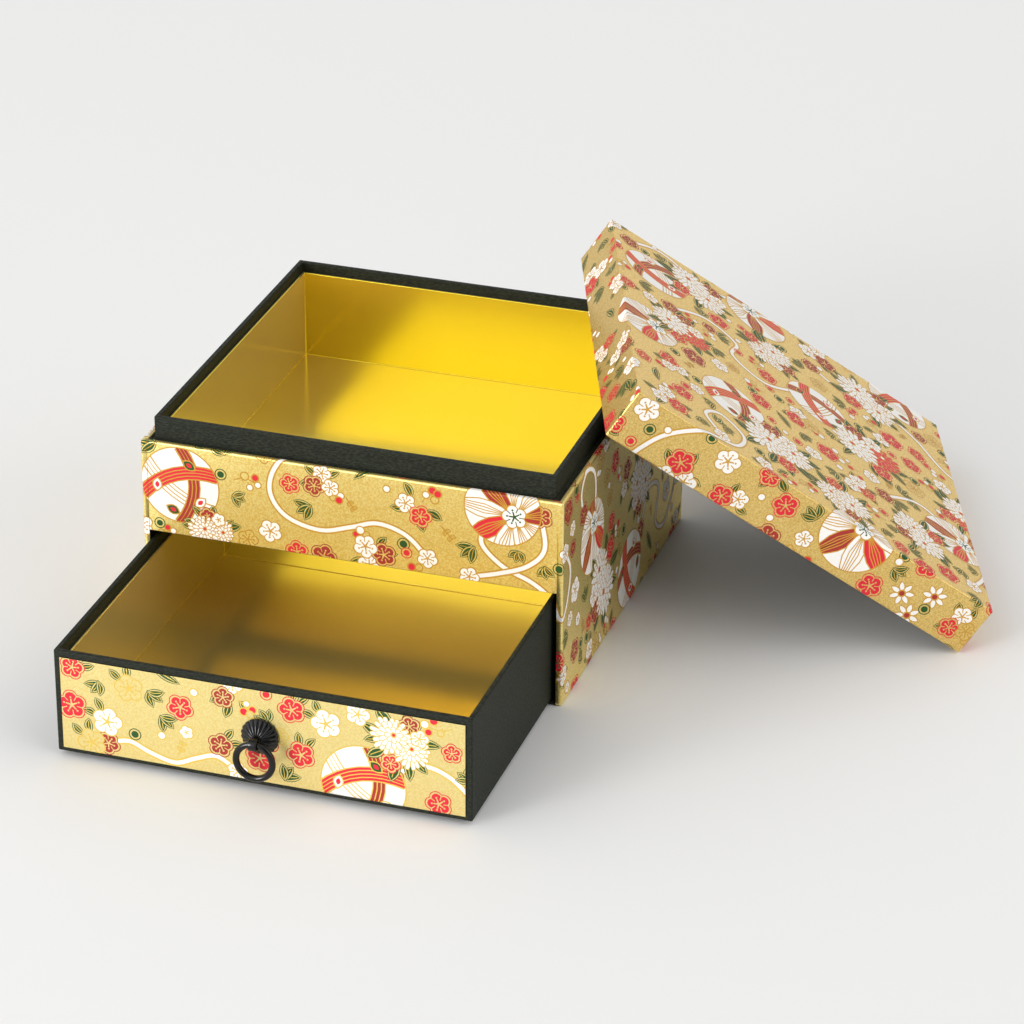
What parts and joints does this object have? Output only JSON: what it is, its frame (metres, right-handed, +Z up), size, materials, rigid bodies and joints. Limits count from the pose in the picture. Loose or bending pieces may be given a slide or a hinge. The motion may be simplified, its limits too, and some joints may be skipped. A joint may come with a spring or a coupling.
{
  "type": "stationery box",
  "caption": "Two-tier box covered in printed paper: an open foil-lined tray above a drawer with a ring pull, and a lift-off lid leaning on one corner.",
  "frame": {"origin": "centre of the case's underside, on the surface that the box stands on", "axes": "+X to the right seen from the front, +Y from the drawer's front to the back, +Z up"},
  "size_m": [0.3807, 0.4239, 0.1385],
  "materials": {
    "printed_paper": "grey board wrapped in paper printed with blossoms, ribbons and temari balls on a metallic gold ground, satin",
    "black_paper": "board wrapped in black laid paper, matt with a fine rib",
    "gold_foil_card": "card faced with bright gold foil, a soft mirror",
    "printed_sheet": "the same printed gold paper, pasted flat as one sheet",
    "black_metal": "glossy black plating or enamel"
  },
  "bodies": {
    "case": {"case_shell": "printed_paper", "inner_tray": "black_paper", "tray_lining": "gold_foil_card", "lid": "printed_paper"},
    "drawer": {"drawer": "black_paper", "drawer_lining": "gold_foil_card", "drawer_front_paper": "printed_sheet", "pull_rosette": "black_metal", "pull_pin": "black_metal"},
    "ring": {"pull_ring": "black_metal"}
  },
  "joints": [
    {"name": "drawer_slide", "type": "slide", "parent": "case", "child": "drawer", "axis": [0, -1, 0], "range_m": [-0.1124, 0.055]},
    {"name": "ring_swing", "type": "hinge", "parent": "drawer", "child": "ring", "pos_m": [-0.001, -0.2213, 0.02805], "axis": [-1, 0, 0], "range_deg": [-20, 150]}
  ]
}
